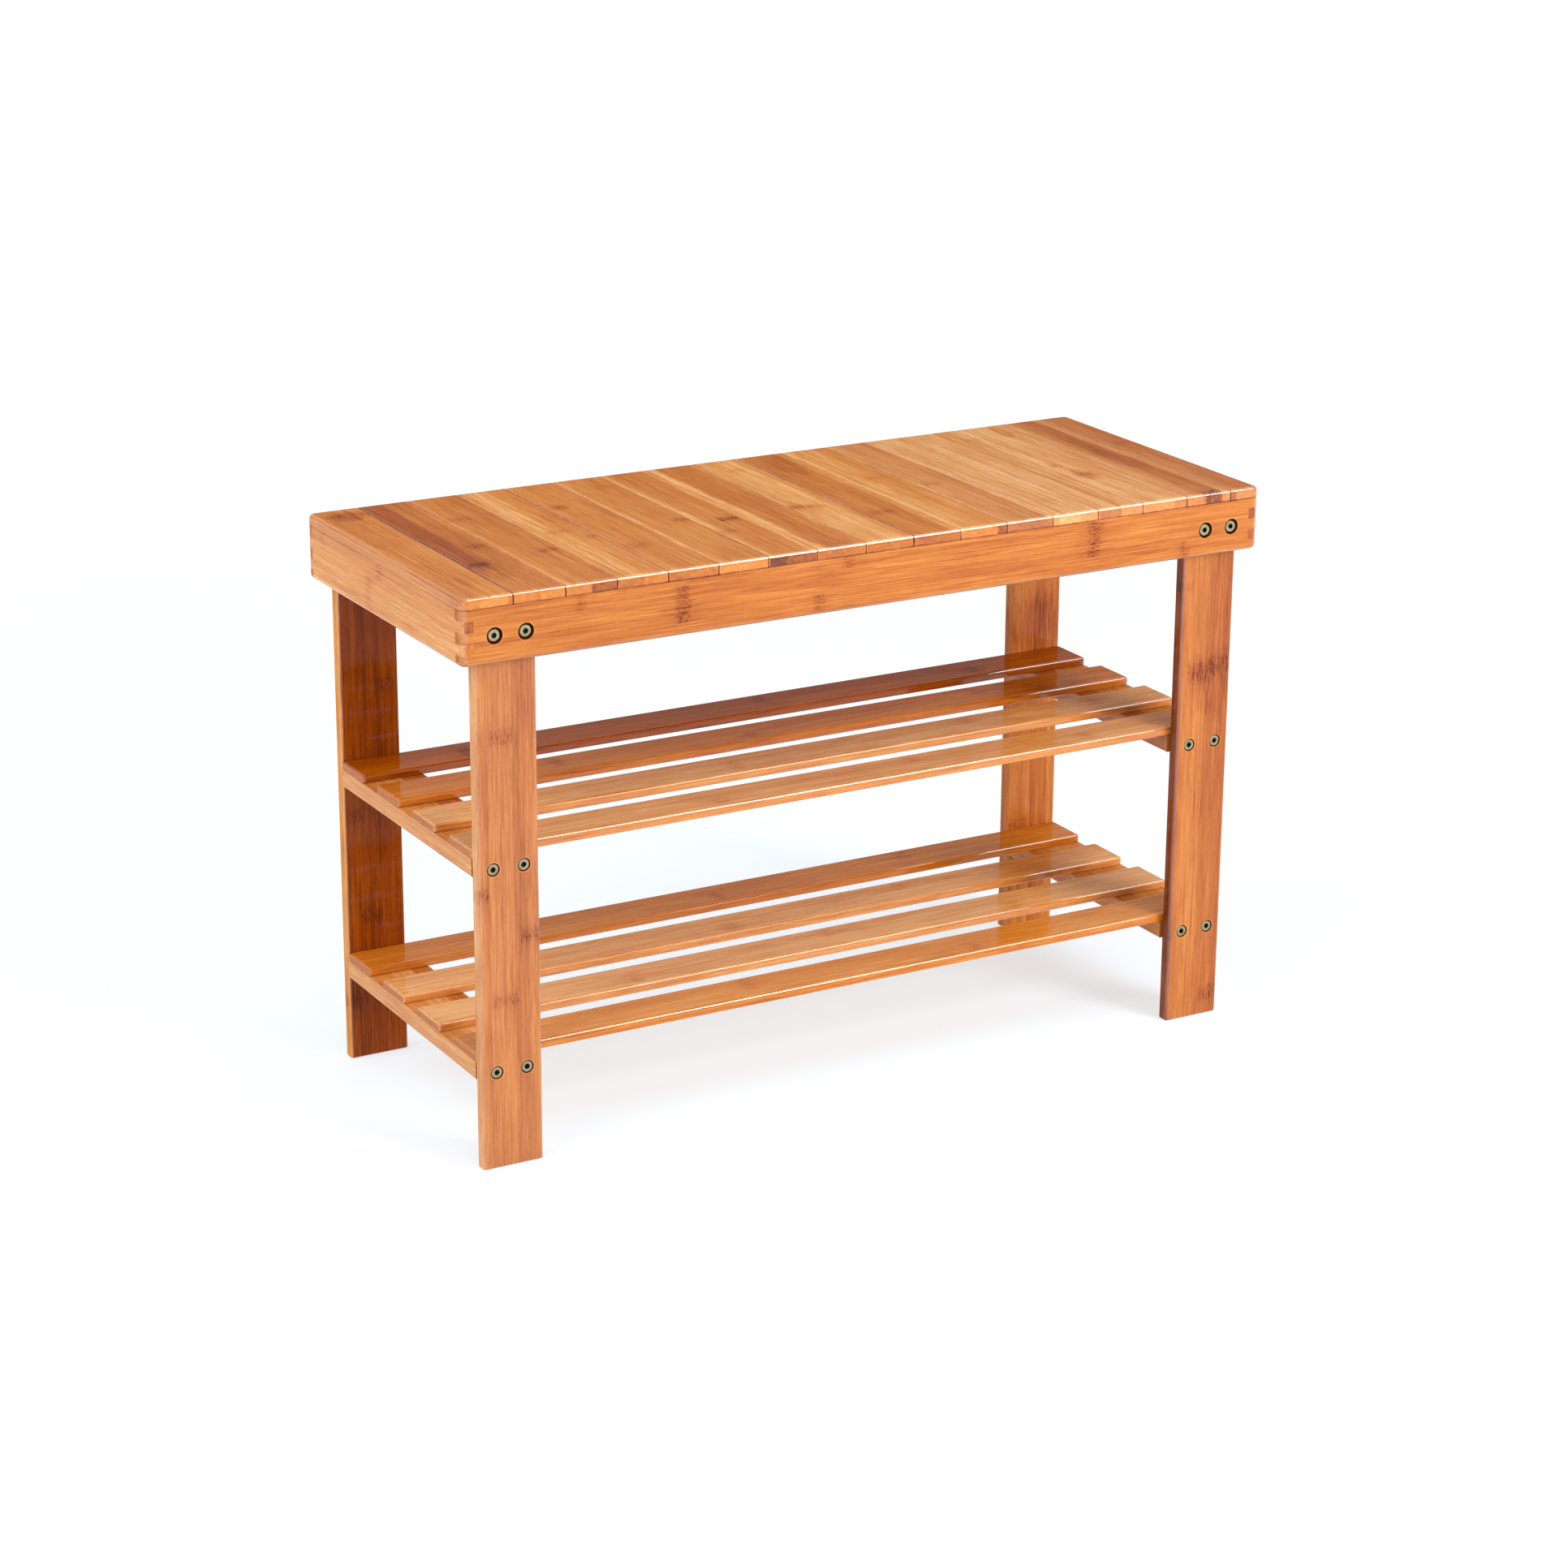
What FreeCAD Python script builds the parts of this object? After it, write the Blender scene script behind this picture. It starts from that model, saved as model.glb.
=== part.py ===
import FreeCAD, Part
import os
from FreeCAD import Vector

# Bamboo entryway bench: a slatted seat on a finger-jointed frame, four flat legs and two
# open shelves of long slats for shoes. Everything is bolted or fixed, so nothing moves.
# Millimetres. Origin on the floor under the middle of the seat, X along the bench,
# Y from the front (-Y) to the back (+Y), Z up.

# Whole bench
LENGTH = 700.0
DEPTH = 280.0
HEIGHT = 450.0

# Seat boards, numbered from the left end; the last one is ripped narrower to fit
SEAT_SLAT_THICKNESS = 8.5
SEAT_SLAT_PITCH = 42.0
SEAT_SLAT_COUNT = 17
SEAT_SLAT_GAP = 0.5
SEAT_SLAT_ARRIS = 1.2
SEAT_SEAM_CHAMFER = 0.3
SEAT_EDGE_RADIUS = 3.5
SEAT_CORNER_RADIUS = 6.0

# Frame of four rails under the seat boards, joined by five equal fingers at each corner
RAIL_THICKNESS = 10.0
RAIL_HEIGHT = 42.5
FINGERS = 5

# Legs, bolted flat against the inside of the long rails
LEG_WIDTH = 50.0
LEG_THICKNESS = 11.0
LEG_INSET = 14.0
LEG_EDGE_RADIUS = 2.5
LEG_FOOT_RADIUS = 1.2

# Shelves: two crosspieces between the legs at each end carry four long slats
CROSSPIECE_TOPS = {"upper": 245.5, "lower": 84.5}
CROSSPIECE_THICKNESS = 14.0
CROSSPIECE_WIDTH = 52.0
CROSSPIECE_ARRIS = 1.0
SHELF_SLAT_COUNT = 4
SHELF_SLAT_WIDTH = 41.0
SHELF_SLAT_THICKNESS = 7.0
SHELF_SLAT_CORNER_RADIUS = 3.0
SHELF_SLAT_TOP_RADIUS = 2.6
SHELF_SLAT_BOTTOM_RADIUS = 1.2

# Bolts: M6 furniture bolts with 4 mm hex sockets, in pairs across each leg. The seat's have
# wide heads with a sloping rim, and the shelves' have small heads.
BOLT_SPACING = 25.0
BOLT_RADIUS = 3.0
BOLT_HOLE_RADIUS = 3.2
BOLT_TIP_CHAMFER = 0.7
HEAD_HEIGHT = 4.0
SOCKET_ACROSS_FLATS = 4.0
SOCKET_DEPTH = 2.3
SEAT_BOLT_LENGTH = 16.0
SEAT_HEAD_RADIUS = 5.6
SEAT_HEAD_CHAMFER = 1.3
SEAT_COUNTERBORE_RADIUS = 6.3
SEAT_COUNTERBORE_DEPTH = 5.0
SHELF_BOLT_LENGTH = 20.0
SHELF_HEAD_RADIUS = 4.6
SHELF_HEAD_CHAMFER = 0.4
SHELF_COUNTERBORE_RADIUS = 5.1
SHELF_COUNTERBORE_DEPTH = 4.5

# Threaded sleeves that the bolts screw into
SLEEVE_RADIUS = 4.5
SLEEVE_BORE_RADIUS = 3.05
SLEEVE_HOLE_RADIUS = 4.55
SLEEVE_CHAMFER = 0.4
LEG_SLEEVE_LENGTH = 10.0
CROSSPIECE_SLEEVE_LENGTH = 12.0
CROSSPIECE_HOLE_DEPTH = 15.0

# Countersunk screws from below each crosspiece into the shelf slats
SCREW_SPACING = 24.0
SCREW_RADIUS = 1.75
SCREW_HOLE_RADIUS = 1.85
SCREW_LENGTH = 18.0
SCREW_HEAD_RADIUS = 3.4
SCREW_HEAD_HEIGHT = 1.9
SCREW_SINK = 0.2
SCREW_RECESS_LENGTH = 3.6
SCREW_RECESS_WIDTH = 0.8
SCREW_RECESS_DEPTH = 1.1
SCREW_POINT_LENGTH = 2.5
SCREW_END_PLAY = 0.3

# Dowels between the seat boards and the long rails
DOWEL_RADIUS = 2.5
DOWEL_LENGTH = 14.0
DOWEL_IN_SLAT = 5.5
DOWEL_CHAMFER = 0.5
DOWEL_SIDE_PLAY = 0.05
DOWEL_END_PLAY = 0.2

# Sizes that follow from the ones above
HALF_LENGTH = LENGTH / 2
HALF_DEPTH = DEPTH / 2
RAIL_TOP = HEIGHT - SEAT_SLAT_THICKNESS
RAIL_BOTTOM = RAIL_TOP - RAIL_HEIGHT
RAIL_INNER_X = HALF_LENGTH - RAIL_THICKNESS
RAIL_INNER_Y = HALF_DEPTH - RAIL_THICKNESS
FINGER_HEIGHT = RAIL_HEIGHT / FINGERS
LEG_OUTER_X = HALF_LENGTH - LEG_INSET
LEG_CENTRE_X = LEG_OUTER_X - LEG_WIDTH / 2
LEG_INNER_Y = RAIL_INNER_Y - LEG_THICKNESS
CROSSPIECE_INNER_X = LEG_OUTER_X - CROSSPIECE_WIDTH
CROSSPIECE_CENTRE_X = LEG_OUTER_X - CROSSPIECE_WIDTH / 2
SHELF_SLAT_GAP = (2 * LEG_INNER_Y - SHELF_SLAT_COUNT * SHELF_SLAT_WIDTH) / (SHELF_SLAT_COUNT - 1)
SEAT_BOLT_Z = (RAIL_TOP + RAIL_BOTTOM) / 2
DOWEL_Y = HALF_DEPTH - RAIL_THICKNESS / 2

SIDES_X = {"left": -1, "right": 1}
SIDES_Y = {"front": -1, "back": 1}
UP = Vector(0, 0, 1)


# ---------------------------------------------------------------- helpers

def block(xs, ys, zs):
    """A box between two x, two y and two z values, given in either order."""
    low = Vector(min(xs), min(ys), min(zs))
    size = Vector(max(xs), max(ys), max(zs)) - low
    return Part.makeBox(size.x, size.y, size.z, low)


def rod(start, direction, radius, length):
    return Part.makeCylinder(radius, length, start, direction)


def edges_along(solid, axis):
    """Straight edges parallel to an axis, given as "x", "y" or "z"."""
    found = []
    for edge in solid.Edges:
        box = edge.BoundBox
        spans = {"x": box.XLength, "y": box.YLength, "z": box.ZLength}
        own = spans.pop(axis)
        if own > 1.0 and max(spans.values()) < 1e-6:
            found.append(edge)
    return found


def edges_at_height(solid, z):
    return [edge for edge in solid.Edges
            if abs(edge.BoundBox.ZMin - z) < 1e-6 and abs(edge.BoundBox.ZMax - z) < 1e-6]


def rounded(solid, radius, edges):
    return solid.makeFillet(radius, edges)


def bevelled(solid, size, edges):
    return solid.makeChamfer(size, edges)


def cut_all(solid, tools):
    return solid.cut(tools) if tools else solid


def check(name, shape, solids):
    if not shape.isValid():
        raise RuntimeError(name + " is not a valid shape")
    if len(shape.Solids) != solids:
        raise RuntimeError(name + " has the wrong number of solids")


def save(name, solids):
    """Write one node: a single solid, or identical fasteners as a group."""
    shape = solids[0] if len(solids) == 1 else Part.makeCompound(solids)
    check(name, shape, len(solids))
    shape.exportStep("parts/" + name + ".step")


# ---------------------------------------------------------------- fasteners

def bolt(head_seat, direction, length, head_radius, head_chamfer):
    """A bolt whose head rests at head_seat and whose shank runs along direction."""
    head = rod(Vector(0, 0, -HEAD_HEIGHT), UP, head_radius, HEAD_HEIGHT)
    head = bevelled(head, head_chamfer, round_edges_at(head, -HEAD_HEIGHT))
    shank = rod(Vector(0, 0, 0), UP, BOLT_RADIUS, length)
    shank = bevelled(shank, BOLT_TIP_CHAMFER, round_edges_at(shank, length))
    solid = head.fuse(shank).removeSplitter()
    solid = solid.cut(hex_prism(SOCKET_ACROSS_FLATS, SOCKET_DEPTH, -HEAD_HEIGHT))
    return aimed(solid.Solids[0], head_seat, direction)


def round_edges_at(solid, z):
    return [edge for edge in edges_at_height(solid, z) if edge.Closed]


def hex_prism(across_flats, depth, bottom_z):
    corner = Vector(across_flats / 3 ** 0.5, 0, bottom_z)
    turn = FreeCAD.Rotation(UP, 60)
    points = [corner]
    for _ in range(6):
        points.append(turn.multVec(points[-1]))
    points[-1] = corner
    return Part.Face(Part.makePolygon(points)).extrude(UP * depth)


def aimed(solid, position, direction):
    """Move a solid built along +Z from the origin to its place."""
    solid.Placement = FreeCAD.Placement(position, FreeCAD.Rotation(UP, direction))
    return solid


def sleeve(start, direction, length):
    solid = rod(Vector(0, 0, 0), UP, SLEEVE_RADIUS, length)
    ends = round_edges_at(solid, 0) + round_edges_at(solid, length)
    solid = bevelled(solid, SLEEVE_CHAMFER, ends)
    solid = solid.cut(rod(Vector(0, 0, 0), UP, SLEEVE_BORE_RADIUS, length))
    return aimed(solid.Solids[0], start, direction)


def screw(head_face):
    """A countersunk wood screw pointing up, with a cross recess in its head."""
    head = Part.makeCone(SCREW_HEAD_RADIUS, SCREW_RADIUS, SCREW_HEAD_HEIGHT)
    straight = SCREW_LENGTH - SCREW_HEAD_HEIGHT - SCREW_POINT_LENGTH
    shank = rod(Vector(0, 0, SCREW_HEAD_HEIGHT), UP, SCREW_RADIUS, straight)
    point_base = Vector(0, 0, SCREW_HEAD_HEIGHT + straight)
    point = Part.makeCone(SCREW_RADIUS, 0, SCREW_POINT_LENGTH, point_base)
    solid = head.fuse([shank, point]).removeSplitter()
    long_half = SCREW_RECESS_LENGTH / 2
    short_half = SCREW_RECESS_WIDTH / 2
    depth = (0, SCREW_RECESS_DEPTH)
    recess = block((-long_half, long_half), (-short_half, short_half), depth)
    recess = recess.fuse(block((-short_half, short_half), (-long_half, long_half), depth))
    return aimed(solid.cut(recess).Solids[0], head_face, UP)


def dowel(bottom):
    solid = rod(Vector(0, 0, 0), UP, DOWEL_RADIUS, DOWEL_LENGTH)
    ends = round_edges_at(solid, 0) + round_edges_at(solid, DOWEL_LENGTH)
    return aimed(bevelled(solid, DOWEL_CHAMFER, ends), bottom, UP)


# ---------------------------------------------------------------- places

def bolt_xs(side_x):
    """The x of each bolt in a leg on the left (-1) or right (1)."""
    centre = side_x * LEG_CENTRE_X
    return [centre - BOLT_SPACING / 2, centre + BOLT_SPACING / 2]


def seat_slat_edges(index):
    """The left and right x of a seat board, before the gap between boards."""
    left = -HALF_LENGTH + index * SEAT_SLAT_PITCH
    return left, min(left + SEAT_SLAT_PITCH, HALF_LENGTH)


def dowel_places(index):
    left, right = seat_slat_edges(index)
    bottom_z = RAIL_TOP + DOWEL_IN_SLAT - DOWEL_LENGTH
    return [Vector((left + right) / 2, side * DOWEL_Y, bottom_z) for side in SIDES_Y.values()]


def shelf_slat_front(index):
    """The front y of a shelf slat, numbered from the front."""
    return -LEG_INNER_Y + index * (SHELF_SLAT_WIDTH + SHELF_SLAT_GAP)


def screw_places(side_x, top_z):
    """Where the screw heads lie under one crosspiece."""
    places = []
    for index in range(SHELF_SLAT_COUNT):
        y = shelf_slat_front(index) + SHELF_SLAT_WIDTH / 2
        for offset in (-SCREW_SPACING / 2, SCREW_SPACING / 2):
            x = side_x * CROSSPIECE_CENTRE_X + offset
            places.append(Vector(x, y, top_z - CROSSPIECE_THICKNESS + SCREW_SINK))
    return places


def crosspiece_middle_z(top_z):
    return top_z - CROSSPIECE_THICKNESS / 2


# ---------------------------------------------------------------- seat

def seat_envelope():
    """The outside of the whole seat, which is sanded round after it is glued up."""
    body = block((-HALF_LENGTH, HALF_LENGTH), (-HALF_DEPTH, HALF_DEPTH), (RAIL_BOTTOM, HEIGHT))
    body = rounded(body, SEAT_CORNER_RADIUS, edges_along(body, "z"))
    for height in (HEIGHT, RAIL_BOTTOM):
        body = rounded(body, SEAT_EDGE_RADIUS, edges_at_height(body, height))
    return body


def dowel_holes(places):
    holes = []
    for place in places:
        start = place - UP * DOWEL_END_PLAY
        length = DOWEL_LENGTH + 2 * DOWEL_END_PLAY
        holes.append(rod(start, UP, DOWEL_RADIUS + DOWEL_SIDE_PLAY, length))
    return holes


def seat_slat(index, envelope):
    left, right = seat_slat_edges(index)
    seams = []
    if index > 0:
        left += SEAT_SLAT_GAP / 2
        seams.append(left)
    if index < SEAT_SLAT_COUNT - 1:
        right -= SEAT_SLAT_GAP / 2
        seams.append(right)
    board = block((left, right), (-HALF_DEPTH, HALF_DEPTH), (RAIL_TOP, HEIGHT))
    board = rounded(board, SEAT_SLAT_ARRIS, seam_edges(board, seams))
    board = board.common(envelope).Solids[0]
    board = bevelled(board, SEAT_SEAM_CHAMFER, outline_edges(board))
    return cut_all(board, dowel_holes(dowel_places(index))).Solids[0]


def seam_edges(board, seams):
    """The top and upright edges where a seat board meets the next one."""
    tops = [edge for edge in edges_along(board, "y") if edge.BoundBox.ZMin > RAIL_TOP + 1]
    return [edge for edge in tops + edges_along(board, "z")
            if any(abs(edge.BoundBox.XMin - x) < 1e-6 for x in seams)]


def outline_edges(board):
    """The bottom edges of a seat board that show on the outside of the seat."""
    hidden = [edge for edge in edges_along(board, "y") if abs(edge.BoundBox.XMin) < HALF_LENGTH - 1]
    return [edge for edge in edges_at_height(board, RAIL_TOP)
            if not any(edge.isSame(other) for other in hidden)]


def finger_zones(remainder):
    """The z ranges of every other finger, counted from the top."""
    zones = []
    for finger in range(FINGERS):
        if finger % 2 == remainder:
            top = RAIL_TOP - finger * FINGER_HEIGHT
            zones.append((top - FINGER_HEIGHT, top))
    return zones


def long_rail(side_y, envelope):
    """The front or back rail, which has the first, third and fifth fingers."""
    ys = (side_y * RAIL_INNER_Y, side_y * HALF_DEPTH)
    rail = block((-HALF_LENGTH, HALF_LENGTH), ys, (RAIL_BOTTOM, RAIL_TOP))
    cuts = []
    for side_x in SIDES_X.values():
        xs = (side_x * RAIL_INNER_X, side_x * HALF_LENGTH)
        cuts += [block(xs, ys, zone) for zone in finger_zones(1)]
        cuts += seat_bolt_holes(side_x, side_y)
    for index in range(SEAT_SLAT_COUNT):
        cuts += dowel_holes(dowel_places(index))
    return cut_all(rail.common(envelope), cuts).Solids[0]


def seat_bolt_holes(side_x, side_y):
    inward = Vector(0, -side_y, 0)
    holes = []
    for x in bolt_xs(side_x):
        mouth = Vector(x, side_y * HALF_DEPTH, SEAT_BOLT_Z)
        holes.append(rod(mouth, inward, SEAT_COUNTERBORE_RADIUS, SEAT_COUNTERBORE_DEPTH))
        holes.append(rod(mouth, inward, BOLT_HOLE_RADIUS, RAIL_THICKNESS))
    return holes


def end_rail(side_x, envelope):
    """The left or right rail, which has the second and fourth fingers."""
    xs = (side_x * RAIL_INNER_X, side_x * HALF_LENGTH)
    rail = block(xs, (-HALF_DEPTH, HALF_DEPTH), (RAIL_BOTTOM, RAIL_TOP))
    cuts = []
    for side_y in SIDES_Y.values():
        ys = (side_y * RAIL_INNER_Y, side_y * HALF_DEPTH)
        cuts += [block(xs, ys, zone) for zone in finger_zones(0)]
    return cut_all(rail.common(envelope), cuts).Solids[0]


def make_seat():
    envelope = seat_envelope()
    for index in range(SEAT_SLAT_COUNT):
        save("seat_slat_%02d" % (index + 1), [seat_slat(index, envelope)])
    for name, side_y in SIDES_Y.items():
        save("seat_rail_" + name, [long_rail(side_y, envelope)])
    for name, side_x in SIDES_X.items():
        save("seat_rail_" + name, [end_rail(side_x, envelope)])
    places = [place for index in range(SEAT_SLAT_COUNT) for place in dowel_places(index)]
    save("seat_slat_dowels", [dowel(place) for place in places])


# ---------------------------------------------------------------- legs

def leg(side_x, side_y):
    xs = (side_x * LEG_OUTER_X, side_x * (LEG_OUTER_X - LEG_WIDTH))
    ys = (side_y * RAIL_INNER_Y, side_y * LEG_INNER_Y)
    board = block(xs, ys, (0, RAIL_TOP))
    board = rounded(board, LEG_EDGE_RADIUS, edges_along(board, "z"))
    board = rounded(board, LEG_FOOT_RADIUS, edges_at_height(board, 0))
    inward = Vector(0, -side_y, 0)
    cuts = []
    for x in bolt_xs(side_x):
        outside = Vector(x, side_y * RAIL_INNER_Y, SEAT_BOLT_Z)
        inside = Vector(x, side_y * LEG_INNER_Y, SEAT_BOLT_Z)
        cuts.append(rod(outside, inward, BOLT_HOLE_RADIUS, LEG_THICKNESS))
        cuts.append(rod(inside, -inward, SLEEVE_HOLE_RADIUS, LEG_SLEEVE_LENGTH))
        for top_z in CROSSPIECE_TOPS.values():
            mouth = Vector(x, side_y * RAIL_INNER_Y, crosspiece_middle_z(top_z))
            cuts.append(rod(mouth, inward, SHELF_COUNTERBORE_RADIUS, SHELF_COUNTERBORE_DEPTH))
            cuts.append(rod(mouth, inward, BOLT_HOLE_RADIUS, LEG_THICKNESS))
    return cut_all(board, cuts).Solids[0]


def make_legs():
    for name_y, side_y in SIDES_Y.items():
        for name_x, side_x in SIDES_X.items():
            save("leg_" + name_y + "_" + name_x, [leg(side_x, side_y)])


# ---------------------------------------------------------------- shelves

def crosspiece(side_x, top_z):
    xs = (side_x * LEG_OUTER_X, side_x * CROSSPIECE_INNER_X)
    bottom_z = top_z - CROSSPIECE_THICKNESS
    board = block(xs, (-LEG_INNER_Y, LEG_INNER_Y), (bottom_z, top_z))
    board = rounded(board, CROSSPIECE_ARRIS, edges_along(board, "y"))
    cuts = []
    for side_y in SIDES_Y.values():
        inward = Vector(0, -side_y, 0)
        for x in bolt_xs(side_x):
            mouth = Vector(x, side_y * LEG_INNER_Y, crosspiece_middle_z(top_z))
            cuts.append(rod(mouth, inward, SLEEVE_HOLE_RADIUS, CROSSPIECE_SLEEVE_LENGTH))
            cuts.append(rod(mouth, inward, BOLT_HOLE_RADIUS, CROSSPIECE_HOLE_DEPTH))
    for place in screw_places(side_x, top_z):
        cuts += screw_hole(place)
    return cut_all(board, cuts).Solids[0]


def screw_hole(place):
    """A hole through the crosspiece with a countersink that the head fills."""
    play = SCREW_HOLE_RADIUS - SCREW_RADIUS
    sink = Part.makeCone(SCREW_HEAD_RADIUS + play, SCREW_HOLE_RADIUS, SCREW_HEAD_HEIGHT, place)
    mouth = rod(place - UP * SCREW_SINK, UP, SCREW_HEAD_RADIUS + play, SCREW_SINK)
    return [sink, mouth, rod(place, UP, SCREW_HOLE_RADIUS, SCREW_LENGTH + SCREW_END_PLAY)]


def shelf_slat(index, top_z):
    front = shelf_slat_front(index)
    upper_face = top_z + SHELF_SLAT_THICKNESS
    ys = (front, front + SHELF_SLAT_WIDTH)
    board = block((-LEG_OUTER_X, LEG_OUTER_X), ys, (top_z, upper_face))
    board = rounded(board, SHELF_SLAT_CORNER_RADIUS, edges_along(board, "z"))
    board = rounded(board, SHELF_SLAT_TOP_RADIUS, edges_at_height(board, upper_face))
    board = rounded(board, SHELF_SLAT_BOTTOM_RADIUS, edges_at_height(board, top_z))
    cuts = []
    for side_x in SIDES_X.values():
        for place in screw_places(side_x, top_z):
            if ys[0] < place.y < ys[1]:
                cuts.append(rod(place, UP, SCREW_HOLE_RADIUS, SCREW_LENGTH + SCREW_END_PLAY))
    return cut_all(board, cuts).Solids[0]


def make_shelves():
    for level, top_z in CROSSPIECE_TOPS.items():
        screws = []
        for name, side_x in SIDES_X.items():
            save(level + "_crosspiece_" + name, [crosspiece(side_x, top_z)])
            screws += [screw(place) for place in screw_places(side_x, top_z)]
        for index in range(SHELF_SLAT_COUNT):
            save("%s_shelf_slat_%d" % (level, index + 1), [shelf_slat(index, top_z)])
        save(level + "_shelf_screws", screws)


# ---------------------------------------------------------------- bolts and sleeves

def bolt_sites():
    """Each bolt's x and side, as (side_y, x)."""
    return [(side_y, x) for side_y in SIDES_Y.values()
            for side_x in SIDES_X.values() for x in bolt_xs(side_x)]


def make_seat_bolts():
    bolts = []
    sleeves = []
    for side_y, x in bolt_sites():
        inward = Vector(0, -side_y, 0)
        head_y = side_y * (HALF_DEPTH - SEAT_COUNTERBORE_DEPTH)
        head_seat = Vector(x, head_y, SEAT_BOLT_Z)
        bolts.append(bolt(head_seat, inward, SEAT_BOLT_LENGTH, SEAT_HEAD_RADIUS, SEAT_HEAD_CHAMFER))
        inside = Vector(x, side_y * LEG_INNER_Y, SEAT_BOLT_Z)
        sleeves.append(sleeve(inside, -inward, LEG_SLEEVE_LENGTH))
    save("seat_bolts", bolts)
    save("leg_threaded_sleeves", sleeves)


def make_shelf_bolts():
    sleeves = []
    for level, top_z in CROSSPIECE_TOPS.items():
        z = crosspiece_middle_z(top_z)
        bolts = []
        for side_y, x in bolt_sites():
            inward = Vector(0, -side_y, 0)
            head_y = side_y * (RAIL_INNER_Y - SHELF_COUNTERBORE_DEPTH)
            head_seat = Vector(x, head_y, z)
            bolts.append(bolt(head_seat, inward, SHELF_BOLT_LENGTH, SHELF_HEAD_RADIUS, SHELF_HEAD_CHAMFER))
            end = Vector(x, side_y * LEG_INNER_Y, z)
            sleeves.append(sleeve(end, inward, CROSSPIECE_SLEEVE_LENGTH))
        save(level + "_shelf_bolts", bolts)
    save("crosspiece_threaded_sleeves", sleeves)


os.makedirs("parts", exist_ok=True)
make_seat()
make_legs()
make_shelves()
make_seat_bolts()
make_shelf_bolts()
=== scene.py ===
"""Looks, light and camera for the bamboo entryway bench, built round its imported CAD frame."""
import math

import bpy
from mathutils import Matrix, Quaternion, Vector


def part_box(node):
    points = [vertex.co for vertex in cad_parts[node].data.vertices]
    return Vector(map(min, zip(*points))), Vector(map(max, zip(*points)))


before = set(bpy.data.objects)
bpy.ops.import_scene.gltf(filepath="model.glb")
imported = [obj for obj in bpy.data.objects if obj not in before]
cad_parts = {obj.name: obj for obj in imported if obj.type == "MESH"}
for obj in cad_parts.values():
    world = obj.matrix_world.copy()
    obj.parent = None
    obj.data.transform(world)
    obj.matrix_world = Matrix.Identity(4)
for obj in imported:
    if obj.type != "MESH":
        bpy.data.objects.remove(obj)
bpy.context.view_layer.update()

X, Y, Z = 0, 1, 2

# Millimetres in a metre. The materials work in millimetres.
MM = 1000.0

# Camera, at the photograph's viewing angle: degrees and metres.
VIEW_AZIMUTH = -29.594
VIEW_ELEVATION = 18.596
VIEW_ROLL = 0.337
VIEW_DISTANCE = 3.0921
VIEW_TARGET = Vector((-0.0047, 0.0, 0.2155))
LENS = 88.47
SENSOR = 36.0

# The lacquer. The flat faces have this share of its full gloss, and the rounded edges have all of it.
FLAT_COAT = 0.5
COAT_ROUGHNESS = 0.06
COAT_IOR = 1.80

# The bamboo's fibre and the lacquer over it: how strongly, and how many metres, they stand up.
FIBRE_BUMP = (0.5, 0.00003)
LACQUER_BUMP = (0.6, 0.00035)
WOOD_ROUGHNESS = (0.40, 0.52)
END_RICHNESS = 1.04

# How squarely a surface faces an axis, from 0 to 1, where end grain begins and is complete, and where
# a rounded edge does.
END_FACING = (0.80, 0.95)
EDGE_FACING = (0.995, 0.96)

# Each board is cut from its own place in the bamboo: millimetres across, along and through.
BOARD_STEP = (97.0, 431.0, 53.0)

# Most of a noise texture's values lie in this range.
NOISE_LOW = 0.25
NOISE_HIGH = 0.75

# Tones run from 0, scorched brown, to 1, pale straw. Each stop is a tone and its colour.
DARKEST_TONE = 0.06
PALETTE = [
    (0.00, (0.050, 0.010, 0.004)),
    (0.15, (0.240, 0.052, 0.012)),
    (0.30, (0.350, 0.089, 0.018)),
    (0.45, (0.443, 0.134, 0.027)),
    (0.60, (0.528, 0.185, 0.039)),
    (0.75, (0.584, 0.232, 0.056)),
    (0.90, (0.642, 0.294, 0.090)),
    (1.00, (0.712, 0.372, 0.142)),
]


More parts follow.
